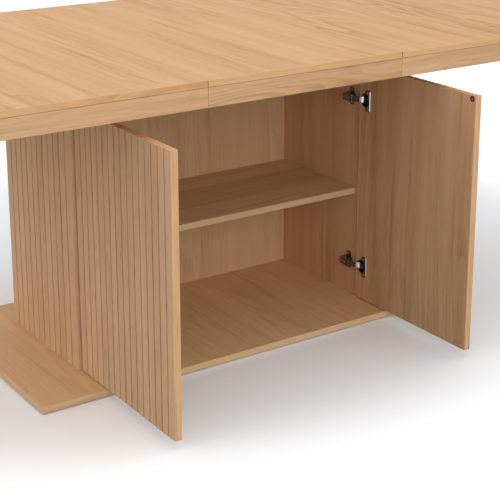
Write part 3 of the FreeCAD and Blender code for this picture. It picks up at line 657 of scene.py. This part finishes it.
def fit_small_parts():
    crosshead = model_crosshead()
    strike_pad = model_strike_pad()
    cup_spots = pairs(CUP_SCREW_X, CUP_SCREW_Y, CUP_SCREW_STEP)
    plate_spots = pairs(PLATE_SCREW_X, PLATE_SCREW_Y, PLATE_SCREW_STEP)
    arm_spots = [(ARM_SCREW_X, along, up) for up in HINGE_HEIGHTS for along in ARM_SCREW_YS]
    fixing_spots = [(STRIKE_SCREW_X, STRIKE_Y, STRIKE_Z)]
    pad_spots = [(STRIKE_PAD_X, STRIKE_Y, STRIKE_Z)]
    for side, end in (("left", -1), ("right", 1)):
        cups = place_copies("crossheads_cups_" + side, crosshead, cup_spots, end, ZINC)
        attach(cups, "door_" + side)
        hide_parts("cup_screws_" + side)
        plates = place_copies("crossheads_plates_" + side, crosshead, plate_spots, end, ZINC)
        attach(plates, "pedestal")
        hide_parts("hinge_plate_screws_" + side)
        arms = place_copies("adjusting_screws_" + side, crosshead, arm_spots, end, ZINC)
        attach(arms, "pedestal")
        fixing = place_copies("crosshead_strike_" + side, crosshead, fixing_spots, end, BRONZE)
        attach(fixing, "door_" + side)
        pad = place_copies("strike_pad_" + side, strike_pad, pad_spots, end, BROWN_PLASTIC)
        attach(pad, "door_" + side)
        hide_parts("strike_disc_" + side)
    bpy.data.objects.remove(crosshead)
    bpy.data.objects.remove(strike_pad)


fit_small_parts()

# Floor, light and camera

FLOOR_HALF = 9.0
FLOOR_DROP = 0.0003
FLOOR_ROUGHNESS = 0.9
FLOOR_BOUNCE = chart(170, 170, 170)
# Floor colours as the camera sees them: painted shadow near the table, and the bright floor further
# out
FLOOR_PAINTED_SHADOW = (1.08, 1.12, 1.16, 1.0)
FLOOR_FAR = (1.36, 1.40, 1.44, 1.0)
# A painted shadow: the floor is dimmer inside an oval under and around the table; the edge is given
# in shares of its reach.
PAINTED_SHADOW_MIDDLE = (0.15, 0.35, 0.0)
PAINTED_SHADOW_REACH = (1.35, 1.05, 1.0)
PAINTED_SHADOW_EDGE = (0.82, 1.15)
SKY_LIGHT = 0.78
CAMERA_PLACE = (-1.6859, -2.76182, 1.3708)
CAMERA_YAW = 34.03
CAMERA_PITCH = 15.68
CAMERA_SENSOR = 36.0
CAMERA_LENS = 95.04
CAMERA_SHIFT = -0.21


def looked_at(tree):
    """1 where the camera sees the surface, straight or in a reflection, and 0 for bounced light."""
    path = node(tree, "ShaderNodeLightPath").outputs
    reflected = maths(tree, "MAXIMUM", path["Is Glossy Ray"], path["Is Transmission Ray"])
    return maths(tree, "MAXIMUM", path["Is Camera Ray"], reflected)


def lay_floor():
    bpy.ops.object.select_all(action="DESELECT")
    bpy.ops.mesh.primitive_plane_add(size=2 * FLOOR_HALF, location=(0, 0, -FLOOR_DROP))
    floor = bpy.context.object
    floor.name = "studio_floor"
    paint, tree, shader = new_finish("floor_white")
    shader.inputs["Roughness"].default_value = FLOOR_ROUGHNESS
    shader.inputs["Specular IOR Level"].default_value = 0.0
    coords = node(tree, "ShaderNodeTexCoord")
    wires = {"Vector": coords.outputs["Object"], "Location": PAINTED_SHADOW_MIDDLE, "Scale": PAINTED_SHADOW_REACH}
    spread = node(tree, "ShaderNodeMapping", wires, vector_type="TEXTURE").outputs["Vector"]
    away = node(tree, "ShaderNodeVectorMath", {0: spread}, operation="LENGTH").outputs["Value"]
    # Painted shadow: the floor looks dimmer inside the oval.
    seen = mixed(tree, ramp(tree, away, *PAINTED_SHADOW_EDGE), FLOOR_PAINTED_SHADOW, FLOOR_FAR)
    colour = mixed(tree, looked_at(tree), FLOOR_BOUNCE, seen)
    tree.links.new(colour, shader.inputs["Base Color"])
    floor.data.materials.append(paint)


def light_room():
    """A white room that lights the table a little less brightly than it looks."""
    world = bpy.context.scene.world or bpy.data.worlds.new("studio")
    bpy.context.scene.world = world
    world.use_nodes = True
    tree = world.node_tree
    tree.nodes.clear()
    strength = maths(tree, "MULTIPLY_ADD", looked_at(tree), 1.0 - SKY_LIGHT, SKY_LIGHT)
    sky = node(tree, "ShaderNodeBackground", {"Color": WHITE, "Strength": strength})
    output = tree.nodes.new("ShaderNodeOutputWorld")
    tree.links.new(sky.outputs["Background"], output.inputs["Surface"])


def hang_softbox(name, place, aim, size, power):
    lamp = bpy.data.lights.new(name, "AREA")
    lamp.shape = "SQUARE"
    lamp.size = size
    lamp.energy = power
    box = bpy.data.objects.new(name, lamp)
    bpy.context.scene.collection.objects.link(box)
    box.location = place
    box.rotation_euler = (Vector(aim) - Vector(place)).to_track_quat("-Z", "Y").to_euler()


def place_camera():
    lens = bpy.data.cameras.new("photo_camera")
    lens.sensor_width = CAMERA_SENSOR
    lens.lens = CAMERA_LENS
    lens.shift_y = CAMERA_SHIFT
    camera = bpy.data.objects.new("photo_camera", lens)
    bpy.context.scene.collection.objects.link(camera)
    camera.location = CAMERA_PLACE
    camera.rotation_euler = (math.radians(90 - CAMERA_PITCH), 0.0, math.radians(-CAMERA_YAW))
    bpy.context.scene.camera = camera


lay_floor()
light_room()
hang_softbox("overhead_softbox", place=(0.0, 0.0, 4.6), aim=(0.0, 0.0, 0.0), size=5.0, power=12.0)
hang_softbox("front_softbox", place=(-0.8, -4.6, 1.7), aim=(0.1, -0.3, 0.45), size=2.0, power=40.0)
hang_softbox("left_softbox", place=(-4.5, 0.2, 1.8), aim=(-0.4, -0.3, 0.3), size=2.4, power=31.0)
place_camera()
bpy.context.scene.view_settings.view_transform = "Standard"
